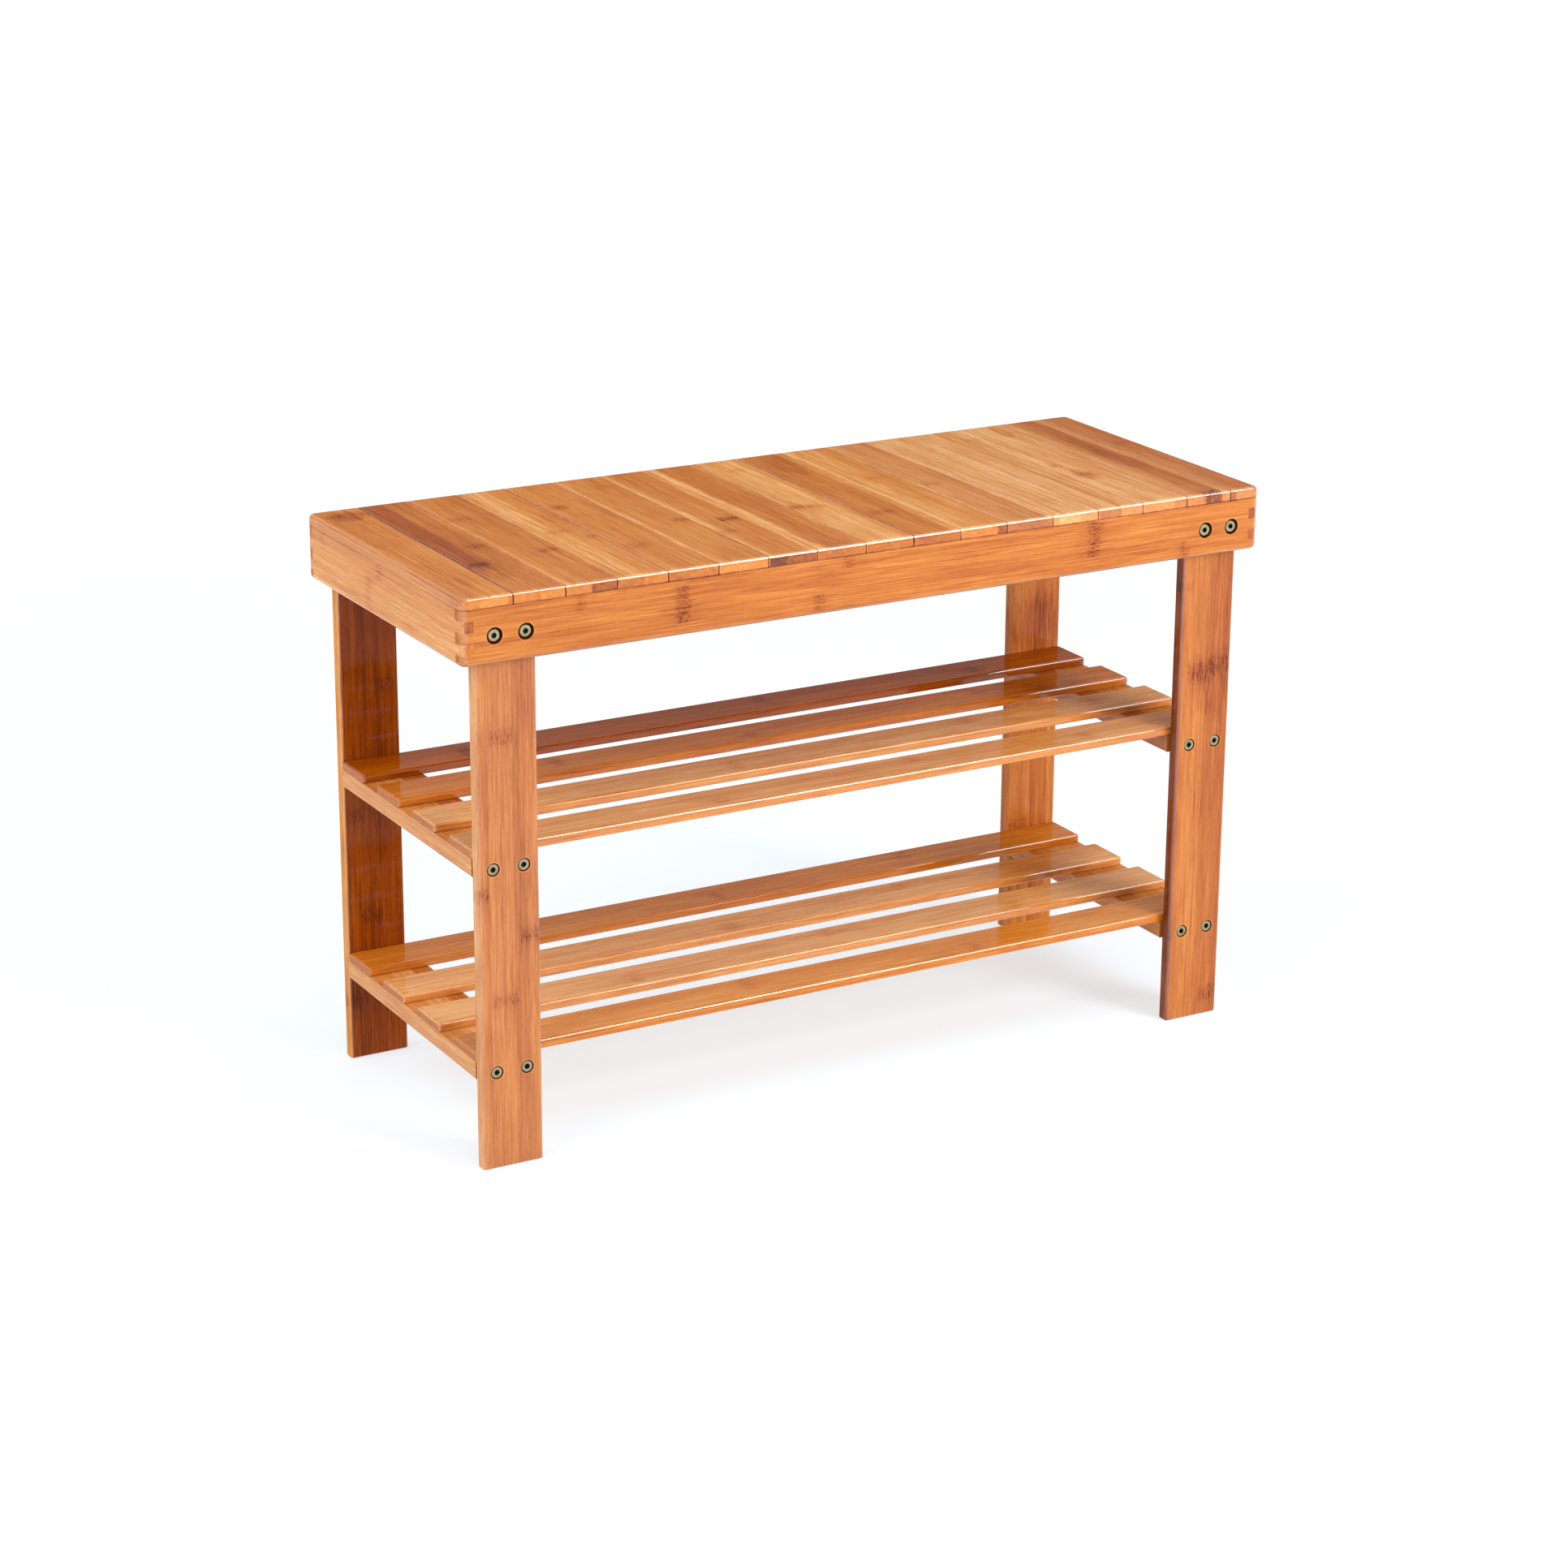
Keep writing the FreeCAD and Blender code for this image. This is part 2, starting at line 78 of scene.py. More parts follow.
class Graph:
    """Adds nodes to one node tree. A method that makes a value returns its output socket."""

    def __init__(self, tree):
        self.nodes = tree.nodes
        self.links = tree.links

    def add(self, kind, **settings):
        node = self.nodes.new(kind)
        for name, value in settings.items():
            setattr(node, name, value)
        return node

    def feed(self, socket, value):
        """Links an output to the socket, or sets the socket's own value."""
        if isinstance(value, bpy.types.NodeSocket):
            self.links.new(value, socket)
        else:
            socket.default_value = value

    def math(self, operation, first, second=0.0, clamp=False):
        node = self.add("ShaderNodeMath", operation=operation, use_clamp=clamp)
        self.feed(node.inputs[0], first)
        self.feed(node.inputs[1], second)
        return node.outputs[0]

    def square_sum(self, first, second):
        squares = [self.math("MULTIPLY", value, value) for value in (first, second)]
        return self.math("ADD", *squares)

    def combine(self, values):
        node = self.add("ShaderNodeCombineXYZ")
        for socket, value in zip(node.inputs, values):
            self.feed(socket, value)
        return node.outputs[0]

    def split(self, vector):
        """A vector's three parts, as three sockets."""
        node = self.add("ShaderNodeSeparateXYZ")
        self.feed(node.inputs[0], vector)
        return node.outputs

    def scaled_noise(self, point, size, detail=2.0):
        """Noise whose grains are size millimetres: across, along, through."""
        scale = self.add("ShaderNodeVectorMath", operation="DIVIDE")
        self.feed(scale.inputs[0], point)
        scale.inputs[1].default_value = size
        noise = self.add("ShaderNodeTexNoise")
        self.feed(noise.inputs["Vector"], scale.outputs[0])
        noise.inputs["Scale"].default_value = 1.0
        noise.inputs["Detail"].default_value = detail
        return noise.outputs[0]

    def smooth(self, value, low, high):
        """0 where the value is at low, 1 where it is at high, smooth between."""
        node = self.add("ShaderNodeMapRange", interpolation_type="SMOOTHSTEP")
        self.feed(node.inputs["Value"], value)
        self.feed(node.inputs["From Min"], low)
        self.feed(node.inputs["From Max"], high)
        return node.outputs[0]

    def rescale(self, value, low, high, to_low, to_high):
        node = self.add("ShaderNodeMapRange")
        for socket, setting in zip(node.inputs, (value, low, high, to_low, to_high)):
            self.feed(socket, setting)
        return node.outputs[0]

    def spread(self, noise, low, high):
        """Stretches a noise to run from about low to about high."""
        return self.rescale(noise, NOISE_LOW, NOISE_HIGH, low, high)

    def ramp(self, value, stops):
        """A colour ramp. The stops are (position, grey) or (position, colour)."""
        node = self.add("ShaderNodeValToRGB")
        self.feed(node.inputs[0], value)
        elements = node.color_ramp.elements
        elements.remove(elements[1])
        for index, (position, shade) in enumerate(stops):
            colour = shade if isinstance(shade, tuple) else (shade, shade, shade)
            element = elements[0] if index == 0 else elements.new(position)
            element.position = position
            element.color = (*colour, 1.0)
        return node.outputs[0]

    def blend(self, factor, first, second, colours=False):
        """A mix of two numbers, or of two colours."""
        node = self.add("ShaderNodeMix", data_type="RGBA" if colours else "FLOAT")
        kind = "Color" if colours else "Float"
        sockets = {socket.identifier: socket for socket in [*node.inputs, *node.outputs]}
        self.feed(sockets["Factor_Float"], factor)
        self.feed(sockets["A_" + kind], first)
        self.feed(sockets["B_" + kind], second)
        return sockets["Result_" + kind]

    def bump(self, height, strength, distance):
        """A normal bent by a height. The distance is in metres."""
        node = self.add("ShaderNodeBump")
        node.inputs["Strength"].default_value = strength
        node.inputs["Distance"].default_value = distance
        self.feed(node.inputs["Height"], height)
        return node.outputs[0]

    def place_group(self, group, settings):
        """A node group with its inputs fed, by name. Returns all its outputs."""
        node = self.add("ShaderNodeGroup", node_tree=group)
        for socket_name, value in settings.items():
            self.feed(node.inputs[socket_name], value)
        return node.outputs

    def finish(self, surface):
        """Makes a shader the material's surface, or the world's."""
        kind = "World" if surface.bl_idname == "ShaderNodeBackground" else "Material"
        output = self.add("ShaderNodeOutput" + kind)
        self.feed(output.inputs["Surface"], surface.outputs[0])


def new_group(name, inputs, outputs):
    """An empty node group. The inputs and outputs are (name, socket type)."""
    tree = bpy.data.node_groups.new(name, "ShaderNodeTree")
    for direction, sockets in (("INPUT", inputs), ("OUTPUT", outputs)):
        for socket_name, kind in sockets:
            tree.interface.new_socket(socket_name, in_out=direction, socket_type="NodeSocket" + kind)
    graph = Graph(tree)
    start = graph.add("NodeGroupInput").outputs
    end = graph.add("NodeGroupOutput").inputs
    return tree, graph, start, end


def new_mark_group(name, places, settings):
    """An empty group for a mark on a board. It gives how much darker the mark makes the tone."""
    inputs = [(place, "Vector" if place == "Point" else "Float") for place in places]
    inputs += [(setting, "Float") for setting in settings]
    return new_group(name, inputs, [("Darkness", "Float")])


# What a look gives for a knot or stain, and for a bolt hole.
PATCH_SETTINGS = ("At Along", "At Across", "Half Width", "Half Length", "Strength")
BORE_SETTINGS = ("At Along", "At Across", "Radius")


def make_knot_group():
    """The band where a bamboo stem had a node: short dark dashes along the fibre in a faint smudge."""
    tree, graph, start, end = new_mark_group(
        "bamboo_knot", ("Point", "Along", "Across"), PATCH_SETTINGS)
    waver = graph.scaled_noise(start["Point"], (4.0, 14.0, 4.0))
    waver = graph.spread(waver, -0.5, 0.5)
    along = graph.math("SUBTRACT", start["Along"], start["At Along"])
    along = graph.math("DIVIDE", along, start["Half Length"])
    along = graph.math("ABSOLUTE", graph.math("ADD", along, waver))
    across = graph.math("SUBTRACT", start["Across"], start["At Across"])
    across = graph.math("ABSOLUTE", graph.math("DIVIDE", across, start["Half Width"]))
    inside = graph.smooth(across, 1.05, 0.85)
    dashes = graph.scaled_noise(start["Point"], (0.9, 4.5, 2.0), detail=1.0)
    dashes = graph.rescale(graph.smooth(dashes, 0.46, 0.60), 0.0, 1.0, 0.12, 0.75)
    band = graph.math("MULTIPLY", graph.smooth(along, 1.25, 0.7), dashes)
    ridge = graph.math("MULTIPLY", graph.smooth(along, 0.45, 0.05), 0.18)
    smudge = graph.math("MULTIPLY", graph.smooth(along, 3.5, 0.6), 0.18)
    total = graph.math("ADD", graph.math("ADD", band, ridge), smudge)
    total = graph.math("MULTIPLY", total, inside)
    graph.feed(end["Darkness"], graph.math("MULTIPLY", total, start["Strength"]))
    return tree


def make_stain_group():
    """A soft darker or lighter cloud in the bamboo, drawn out along the fibre."""
    tree, graph, start, end = new_mark_group(
        "bamboo_stain", ("Point", "Along", "Across"), PATCH_SETTINGS)
    along = graph.math("SUBTRACT", start["Along"], start["At Along"])
    along = graph.math("DIVIDE", along, start["Half Length"])
    across = graph.math("SUBTRACT", start["Across"], start["At Across"])
    across = graph.math("DIVIDE", across, start["Half Width"])
    reach = graph.square_sum(along, across)
    ragged = graph.scaled_noise(start["Point"], (2.5, 18.0, 3.0))
    reach = graph.math("ADD", reach, graph.spread(ragged, -0.55, 0.55))
    cloud = graph.smooth(reach, 1.2, 0.0)
    graph.feed(end["Darkness"], graph.math("MULTIPLY", cloud, start["Strength"]))
    return tree


def make_bore_shade_group():
    """A bolt hole: painted shade inside it, and a painted highlight in a paler ring round its mouth.
    """
    tree, graph, start, end = new_mark_group("bamboo_bore_shade", ("Along", "Across"), BORE_SETTINGS)
    along = graph.math("SUBTRACT", start["Along"], start["At Along"])
    across = graph.math("SUBTRACT", start["Across"], start["At Across"])
    distance = graph.math("SQRT", graph.square_sum(along, across))
    beyond = graph.math("SUBTRACT", distance, start["Radius"])
    # Painted shade fills the hole, and a ring just outside it is made paler as a painted highlight.
    inside = graph.math("MULTIPLY", graph.smooth(beyond, 0.25, 0.0), 0.62)
    highlight_ring = graph.math("MULTIPLY", graph.smooth(beyond, 1.5, 0.5), -0.12)
    graph.feed(end["Darkness"], graph.math("ADD", inside, highlight_ring))
    return tree


def make_seam_shade_group():
    """Painted shade in a line along a joint between two boards: broken, dark, darkest at the joint."""
    tree, graph, start, end = new_mark_group(
        "bamboo_seam_shade", ("Point", "Distance"), ("Reach", "Strength"))
    # Painted shade, strongest at the joint and fading over the reach.
    shade_line = graph.smooth(start["Distance"], start["Reach"], 0.0)
    breaks = graph.scaled_noise(start["Point"], (7.0, 7.0, 7.0), detail=3.0)
    breaks = graph.rescale(breaks, 0.35, 0.60, 0.25, 1.0)
    shade_line = graph.math("MULTIPLY", shade_line, breaks)
    graph.feed(end["Darkness"], graph.math("MULTIPLY", shade_line, start["Strength"]))
    return tree


def make_bamboo_group():
    """Fibre, flecks and colour of lacquered bamboo, from a board's own coordinates in millimetres."""
    tree, graph, start, end = new_group(
        "bamboo",
        [("Point", "Vector"), ("Strip Tone", "Float"), ("End Tone", "Float"),
         ("End Face", "Float"), ("Darkness", "Float"), ("Saturation", "Float")],
        [("Colour", "Color"), ("Roughness", "Float"), ("Fibre", "Float"), ("Lacquer", "Float")],
    )
    point = start["Point"]
    cloud = graph.scaled_noise(point, (28.0, 90.0, 28.0), detail=3.0)
    broad = graph.scaled_noise(point, (5.5, 190.0, 8.0))
    medium = graph.scaled_noise(point, (1.9, 75.0, 3.0))
    fine = graph.scaled_noise(point, (0.7, 26.0, 0.9))
    flecks = graph.scaled_noise(point, (0.55, 5.0, 0.8), detail=1.0)
    threads = graph.scaled_noise(point, (0.8, 150.0, 1.1), detail=1.0)
    grain = graph.math("MULTIPLY", graph.smooth(flecks, 0.58, 0.70), -0.13)
    grain = graph.math("ADD", grain, graph.math("MULTIPLY", graph.smooth(threads, 0.54, 0.63), -0.11))
    for layer, depth in ((cloud, 0.18), (broad, 0.20), (medium, 0.30), (fine, 0.42)):
        grain = graph.math("ADD", grain, graph.spread(layer, -depth / 2, depth / 2))
    tone = start["Strip Tone"]
    contrast = graph.rescale(tone, 0.0, 1.0, 0.22, 1.1)
    tone = graph.math("ADD", tone, graph.math("MULTIPLY", grain, contrast))

    pores = graph.scaled_noise(point, (0.6, 30.0, 0.9), detail=1.0)
    patches = graph.scaled_noise(point, (4.0, 60.0, 2.5))
    end_tone = graph.math("ADD", start["End Tone"], graph.spread(patches, -0.10, 0.10))
    pits = graph.math("MULTIPLY", graph.smooth(pores, 0.50, 0.70), 0.14)
    end_tone = graph.math("SUBTRACT", end_tone, pits)
    tone = graph.blend(start["End Face"], tone, end_tone)
    tone = graph.math("SUBTRACT", tone, start["Darkness"])
    tone = graph.math("MAXIMUM", tone, DARKEST_TONE)
    dye = graph.add("ShaderNodeHueSaturation")
    graph.feed(dye.inputs["Color"], graph.ramp(tone, PALETTE))
    richness = graph.rescale(start["End Face"], 0.0, 1.0, 1.0, END_RICHNESS)
    graph.feed(dye.inputs["Saturation"], graph.math("MULTIPLY", start["Saturation"], richness))
    graph.feed(end["Colour"], dye.outputs[0])

    graph.feed(end["Roughness"], graph.spread(medium, *WOOD_ROUGHNESS))
    fibre = graph.math("ADD", graph.math("MULTIPLY", fine, 0.6), graph.math("MULTIPLY", medium, 0.4))
    graph.feed(end["Fibre"], fibre)
    swell = graph.scaled_noise(point, (14.0, 34.0, 14.0), detail=1.0)
    ripple = graph.scaled_noise(point, (2.2, 5.0, 2.2), detail=2.0)
    graph.feed(end["Lacquer"], graph.math("ADD", swell, graph.math("MULTIPLY", ripple, 0.11)))
    return tree


KNOT = make_knot_group()
STAIN = make_stain_group()
BORE_SHADE = make_bore_shade_group()
SEAM_SHADE = make_seam_shade_group()
BAMBOO = make_bamboo_group()


def new_material(name):
    """A material with an empty node tree, and the tree's graph."""
    material = bpy.data.materials.new(name)
    material.use_nodes = True
    material.node_tree.nodes.clear()
    return material, Graph(material.node_tree)


def add_darkness(graph, look, point, across, along, through, width, end_face):
    """How much a board's knots and stains darken it, with the painted shade in its bolt holes and
    along its seams and the painted highlight round the holes, added up.
    """
    marks = []
    for group, patches in ((KNOT, look.get("knots", [])), (STAIN, look.get("stains", []))):
        for patch in patches:
            settings = dict(zip(PATCH_SETTINGS, patch), Point=point, Along=along, Across=across)
            marks.append((group, settings))
    for bore in look.get("bores", []):
        marks.append((BORE_SHADE, dict(zip(BORE_SETTINGS, bore), Along=along, Across=across)))
    for side, reach, strength in look.get("seams", []):
        distance = across if side == "low" else graph.math("SUBTRACT", width, across)
        marks.append((SEAM_SHADE, dict(Point=point, Distance=distance, Reach=reach, Strength=strength)))
    if "end_seam_shade" in look:
        height, reach, strength = look["end_seam_shade"]
        distance = graph.math("SUBTRACT", through, height)
        strength = graph.math("MULTIPLY", end_face, strength)
        marks.append((SEAM_SHADE, dict(Point=point, Distance=distance, Reach=reach, Strength=strength)))

    darkness = 0.0
    for group, settings in marks:
        mark = graph.place_group(group, settings)
        darkness = graph.math("ADD", darkness, mark["Darkness"])
    return darkness


def lacquered(graph, bamboo, coat_weight):
    """The shader for bamboo under a clear lacquer."""
    surface = graph.add("ShaderNodeBsdfPrincipled")
    graph.feed(surface.inputs["Base Color"], bamboo["Colour"])
    graph.feed(surface.inputs["Roughness"], bamboo["Roughness"])
    graph.feed(surface.inputs["Normal"], graph.bump(bamboo["Fibre"], *FIBRE_BUMP))
    surface.inputs["Specular IOR Level"].default_value = 0.0
    graph.feed(surface.inputs["Coat Weight"], coat_weight)
    graph.feed(surface.inputs["Coat Normal"], graph.bump(bamboo["Lacquer"], *LACQUER_BUMP))
    surface.inputs["Coat Roughness"].default_value = COAT_ROUGHNESS
    surface.inputs["Coat IOR"].default_value = COAT_IOR
    return surface


def bamboo_material(name, axes, origin, width, look, number):
    """One board's material. The axes are those that run across, along and through the board."""
    material, graph = new_material("bamboo_" + name)
    place = graph.add("ShaderNodeTexCoord")
    position = graph.split(place.outputs["Object"])
    across, along, through = (graph.math("MULTIPLY", position[axis], MM) for axis in axes)
    across = graph.math("SUBTRACT", across, origin)
    point = graph.combine(
        graph.math("ADD", value, step * number)
        for value, step in zip((across, along, through), BOARD_STEP)
    )

    waver = graph.spread(graph.scaled_noise(point, (60.0, 38.0, 60.0)), -1.0, 1.0)
    waver = graph.math("MULTIPLY", waver, look.get("waver", PLAIN_WAVER))
    share = graph.math("DIVIDE", graph.math("ADD", across, waver), width)
    end_share = graph.math("DIVIDE", across, width)

    # Each part of the normal is 1 on faces square to that axis. On a rounded edge, none is.
    facings = [graph.math("ABSOLUTE", part) for part in graph.split(place.outputs["Normal"])]
    end_face = graph.smooth(facings[axes[1]], *END_FACING)
    flattest = graph.math("MAXIMUM", graph.math("MAXIMUM", facings[X], facings[Y]), facings[Z])
    rounding = graph.smooth(flattest, *EDGE_FACING)

    bamboo = graph.place_group(BAMBOO, {
        "Point": point,
        "Strip Tone": graph.ramp(share, look["strips"]),
        "End Tone": graph.ramp(end_share, look.get("ends", PLAIN_ENDS)),
        "End Face": end_face,
        "Darkness": add_darkness(graph, look, point, across, along, through, width, end_face),
        "Saturation": look.get("saturation", 1.0),
    })
    coat_weight = graph.blend(rounding, FLAT_COAT * look.get("gloss", 1.0), 1.0)
    graph.finish(lacquered(graph, bamboo, coat_weight))
    return material


# The looks of the boards. Strips and ends are the tones of a board's faces and of its end grain,
# from its low side at 0 to its high side at 1. Knots and stains are (along, across, half width, half
# length, strength) in millimetres: along in the bench's frame, across from the board's low side. A
# stain of negative strength is paler. Waver is how far the strips' edges wander, in millimetres. Gloss
# is the share of FLAT_COAT that the board's flat faces have.
PLAIN_ENDS = [(0.0, 0.40), (1.0, 0.40)]
PLAIN_WAVER = 0.8
DOWEL_LOOK = dict(strips=[(0.0, 0.60), (1.0, 0.60)])
SEAT_LOOKS = [
    dict(
        strips=[(0.0, 0.60), (0.5, 0.58), (1.0, 0.62)],
        ends=[(0.0, 0.60), (0.37, 0.60), (0.39, 0.72), (0.9, 0.70), (0.92, 0.50)],
        stains=[(115, 24, 16, 16, 0.30), (-95, 22, 3, 18, 0.15)],
        knots=[(118, 14, 8, 4, 0.20)],
    ),
    dict(
        strips=[(0.0, 0.28), (0.41, 0.28), (0.43, 0.46), (0.85, 0.46), (0.88, 0.54), (1.0, 0.54)],
        ends=[(0.0, 0.36), (0.50, 0.36), (0.52, 0.60), (1.0, 0.62)],
        stains=[(-130, 8, 16, 65, -0.24), (-59, 12, 10, 7, 0.08)],
        knots=[(-59, 10, 9, 5, 0.24), (-11, 30, 9, 5, 0.20)],
    ),
    dict(
        strips=[(0.0, 0.78), (0.07, 0.76), (0.10, 0.58), (0.6, 0.55), (1.0, 0.53)],
        ends=[(0.0, 0.58), (0.49, 0.56), (0.51, 0.24), (1.0, 0.26)],
        knots=[(67, 12, 10, 5, 0.22), (-46, 32, 9, 5, 0.32)],
    ),
    dict(
        strips=[
            (0.0, 0.80), (0.17, 0.80), (0.18, 0.98), (0.22, 0.98), (0.24, 0.88), (0.58, 0.84),
            (0.62, 0.64), (1.0, 0.58),
        ],
        ends=[(0.0, 0.46), (0.5, 0.42), (0.52, 0.52), (1.0, 0.56)],
        knots=[(-2, 18, 10, 5, 0.30), (-26, 36, 5, 5, 0.30)],
    ),
    dict(
        strips=[(0.0, 0.70), (0.4, 0.60), (1.0, 0.62)],
        ends=[(0.0, 0.40), (0.6, 0.48), (1.0, 0.50)],
        stains=[(63, 10, 9, 10, 0.12)],
        knots=[(63, 10, 9, 5, 0.20), (-66, 13, 10, 5, 0.20)],
    ),
    dict(
        strips=[(0.0, 0.90), (0.07, 0.88), (0.10, 0.66), (1.0, 0.60)],
        ends=[(0.0, 0.66), (0.5, 0.68), (1.0, 0.62)],
        knots=[(-14, 34, 7, 5, 0.30), (105, 30, 10, 5, 0.15)],
    ),
    dict(
        strips=[
            (0.0, 0.98), (0.10, 0.92), (0.13, 0.72), (0.28, 0.60), (0.86, 0.58), (0.90, 0.84),
            (1.0, 0.86),
        ],
        ends=[(0.0, 0.08), (0.36, 0.08), (0.38, 0.22), (1.0, 0.24)],
        knots=[(-62, 8, 8, 5, 0.24), (-29, 26, 9, 5, 0.36)],
        stains=[(-29, 26, 10, 8, 0.15)],
        waver=1.6,
    ),
    dict(
        strips=[
            (0.0, 1.0), (0.12, 0.96), (0.16, 0.62), (0.24, 0.50), (0.66, 0.50), (0.72, 0.58),
            (0.92, 0.58), (0.95, 0.80), (1.0, 0.80),
        ],
        ends=[(0.0, 0.44), (0.4, 0.38), (1.0, 0.50)],
        waver=2.0,
    ),
    dict(
        strips=[(0.0, 0.82), (0.4, 0.88), (0.75, 1.0), (0.83, 0.76), (1.0, 0.72)],
        ends=[(0.0, 0.42), (1.0, 0.46)],
        knots=[(-22, 5, 8, 5, 0.35), (-28, 22, 9, 5, 0.30), (102, 20, 9, 4, 0.22)],
        stains=[(-24, 12, 14, 8, 0.12)],
    ),
    dict(
        strips=[(0.0, 0.50), (0.4, 0.58), (0.6, 0.52), (0.80, 0.52), (0.84, 0.74), (1.0, 0.80)],
        ends=[(0.0, 0.48), (0.15, 0.30), (1.0, 0.44)],
        knots=[(-67, 15, 11, 5, 0.28)],
        stains=[(100, 22, 20, 40, 0.12)],
    ),
    dict(
        strips=[(0.0, 1.0), (0.07, 0.98), (0.10, 0.84), (0.6, 0.82), (0.64, 0.70), (1.0, 0.72)],
        ends=[(0.0, 0.60), (0.78, 0.58), (0.80, 0.26), (1.0, 0.24)],
        knots=[(30, 24, 10, 5, 0.16)],
    ),
    dict(
        saturation=0.95,
        strips=[
            (0.0, 0.82), (0.1, 0.70), (0.58, 0.70), (0.62, 0.60), (0.86, 0.62), (0.89, 0.96),
            (1.0, 0.98),
        ],
        ends=[(0.0, 0.40), (0.7, 0.34), (1.0, 0.46)],
        knots=[(-10, 12, 9, 5, 0.18)],
    ),
    dict(
        saturation=0.95,
        strips=[(0.0, 0.98), (0.05, 0.92), (0.08, 0.84), (0.5, 0.90), (1.0, 0.96)],
        ends=[(0.0, 0.78), (0.12, 0.78), (0.14, 0.95), (0.6, 0.90), (0.62, 0.76), (1.0, 0.74)],
        knots=[(-97, 21, 9, 5, 0.25), (60, 34, 7, 5, 0.16)],
    ),
    dict(
        saturation=0.95,
        strips=[
            (0.0, 0.86), (0.42, 0.88), (0.46, 0.62), (0.50, 0.62), (0.54, 0.82), (0.88, 0.84),
            (0.92, 1.0), (1.0, 1.0),
        ],
        ends=[(0.0, 0.42), (0.5, 0.46), (0.52, 0.68), (1.0, 0.66)],
        knots=[(101, 34, 8, 5, 0.18)],
    ),
    dict(
        saturation=0.95,
        strips=[(0.0, 1.0), (0.10, 0.96), (0.13, 0.84), (0.5, 0.90), (1.0, 0.84)],
        ends=[(0.0, 0.62), (0.7, 0.72), (0.72, 0.52), (1.0, 0.50)],
        knots=[(-6, 4, 6, 5, 0.30), (-41, 9, 9, 6, 0.26)],
        stains=[(-41, 10, 10, 22, 0.22), (113, 30, 9, 22, 0.25)],
        waver=2.2,
    ),
    dict(
        saturation=0.95,
        strips=[(0.0, 0.86), (0.2, 0.66), (0.5, 0.42), (0.78, 0.36), (0.82, 0.66), (1.0, 0.66)],
        ends=[(0.0, 0.60), (0.42, 0.56), (0.44, 0.34), (0.80, 0.34), (0.82, 0.58), (1.0, 0.58)],
        stains=[(20, 22, 9, 80, 0.12)],
        knots=[(-137, 24, 9, 3.5, 0.45)],
    ),
    dict(
        saturation=0.95,
        strips=[(0.0, 0.56), (0.3, 0.48), (1.0, 0.44)],
        ends=[(0.0, 0.26), (0.15, 0.30), (0.18, 0.60), (1.0, 0.56)],
        knots=[(35, 14, 9, 5, 0.12)],
    ),
]

RAIL_LOOKS = {
    "seat_rail_front": dict(
        gloss=0.35,
        strips=[(0.0, 0.48), (0.40, 0.46), (0.41, 0.35), (0.42, 0.35), (0.43, 0.51), (1.0, 0.48)],
        ends=[(0.0, 0.44), (1.0, 0.46)],
        knots=[
            (-254, 36, 6, 5, 0.22), (-170, 24, 15, 6, 0.32), (-55, 9, 8, 5, 0.26),
            (-29, 38, 5, 5, 0.22), (193, 27, 15, 6, 0.30), (279, 8, 8, 5, 0.24),
        ],
        waver=0.5,
    ),
    "seat_rail_back": dict(
        saturation=1.06,
        strips=[(0.0, 0.70), (0.52, 0.72), (0.53, 0.50), (0.54, 0.50), (0.55, 0.78), (1.0, 0.74)],
        ends=[(0.0, 0.44), (1.0, 0.46)],
        knots=[
            (-205, 12, 11, 6, 0.28), (-20, 33, 9, 6, 0.28), (160, 12, 11, 6, 0.26),
            (290, 34, 8, 5, 0.24),
        ],
        waver=0.5,
    ),
    "seat_rail_left": dict(
        saturation=1.02,
        strips=[(0.0, 0.80), (0.55, 0.80), (0.58, 0.72), (0.80, 0.70), (0.83, 0.62), (1.0, 0.62)],
        ends=[(0.0, 0.50), (0.48, 0.50), (0.52, 0.26), (1.0, 0.24)],
        knots=[(24, 14, 16, 6, 0.22), (4, 36, 7, 5, 0.22), (110, 38, 6, 4, 0.20)],
        waver=1.6,
    ),
    "seat_rail_right": dict(
        strips=[(0.0, 0.72), (0.45, 0.74), (0.48, 0.64), (1.0, 0.68)],
        ends=[(0.0, 0.30), (0.48, 0.30), (0.52, 0.22), (1.0, 0.20)],
        knots=[(-60, 12, 10, 6, 0.24), (70, 32, 9, 6, 0.24)],
        waver=1.2,
    ),
}

